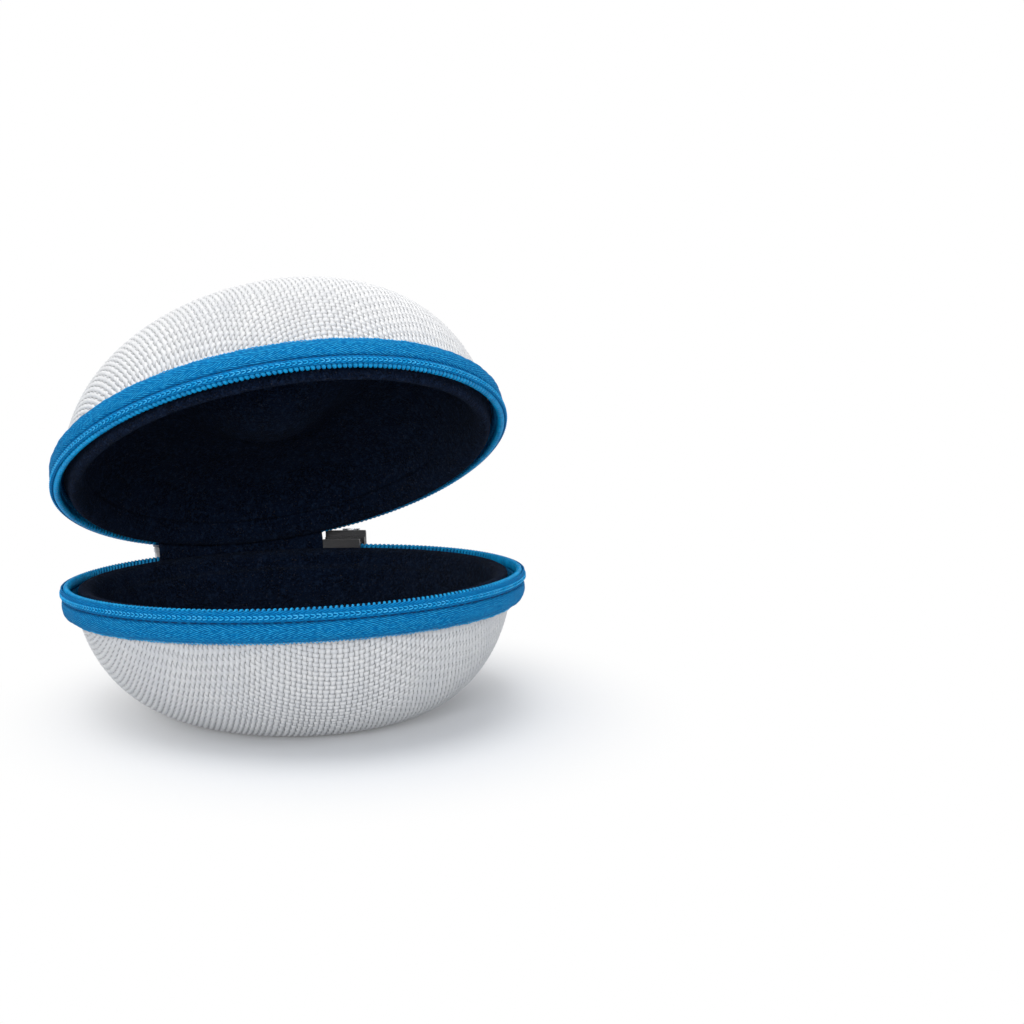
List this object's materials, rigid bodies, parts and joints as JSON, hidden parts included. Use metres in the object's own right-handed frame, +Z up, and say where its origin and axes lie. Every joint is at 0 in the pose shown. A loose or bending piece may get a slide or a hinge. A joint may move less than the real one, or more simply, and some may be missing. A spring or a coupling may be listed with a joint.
{
  "type": "watch travel case",
  "caption": "Round zippered travel case for one watch: two dimpled moulded halves with a fabric hinge, a coil zip and a rubber pull tab.",
  "frame": {"origin": "centre of the flat ring that the case stands on, round the dimple in its base", "axes": "+Z up, +Y towards the hinge, +X to the right of someone facing the open mouth"},
  "size_m": [0.1126, 0.1182, 0.1048],
  "materials": {
    "shell_fabric": "coarse woven nylon, white to silver grey, slight sheen",
    "foam": "moulded closed-cell foam",
    "velour_lining": "brushed velour, near black navy",
    "zip_tape": "twill woven polyester, mid blue",
    "zip_coil": "nylon monofilament, mid blue",
    "thread": "sewing thread, mid blue",
    "thread_dark": "sewing thread, dark blue",
    "slider_metal": "matte black enamel on die-cast zinc",
    "link_steel": "bright steel",
    "tab_rubber": "matte black moulded rubber"
  },
  "bodies": {
    "base": {"base_fabric_shell": "shell_fabric", "base_foam_core": "foam", "base_lining": "velour_lining", "base_zip_tape": "zip_tape", "base_zip_coil": "zip_coil", "base_zip_cord": "zip_tape", "base_tape_stitching": "thread", "base_tape_bartacks": "thread_dark", "hinge_fabric": "shell_fabric", "hinge_lining": "velour_lining"},
    "lid": {"lid_fabric_shell": "shell_fabric", "lid_foam_core": "foam", "lid_lining": "velour_lining", "lid_zip_tape": "zip_tape", "lid_zip_coil": "zip_coil", "lid_zip_cord": "zip_tape", "lid_tape_stitching": "thread", "lid_tape_bartacks": "thread_dark"},
    "slider": {"zip_slider": "slider_metal"},
    "link": {"pull_link": "link_steel"},
    "tab": {"pull_tab": "tab_rubber"}
  },
  "joints": [
    {"name": "lid_hinge", "type": "hinge", "parent": "base", "child": "lid", "pos_m": [0, 0.05755, 0.0262], "axis": [-1, 0, 0], "range_deg": [-27.8, 62.2], "deforming": ["hinge_fabric", "hinge_lining"]},
    {"name": "zip_slide", "type": "hinge", "parent": "base", "child": "slider", "pos_m": [0, 0.00301, 0.03136], "axis": [0, -0.0941, -0.9956], "range_deg": [0, 300]},
    {"name": "link_swing", "type": "hinge", "parent": "slider", "child": "link", "pos_m": [0.02985, 0.05448, 0.02649], "axis": [0, 0.0941, 0.9956], "range_deg": [-60, 60]},
    {"name": "tab_swing", "type": "hinge", "parent": "link", "child": "tab", "pos_m": [0.0337, 0.06112, 0.02586], "axis": [0.866, -0.4978, 0.0471], "range_deg": [-8, 78]}
  ]
}
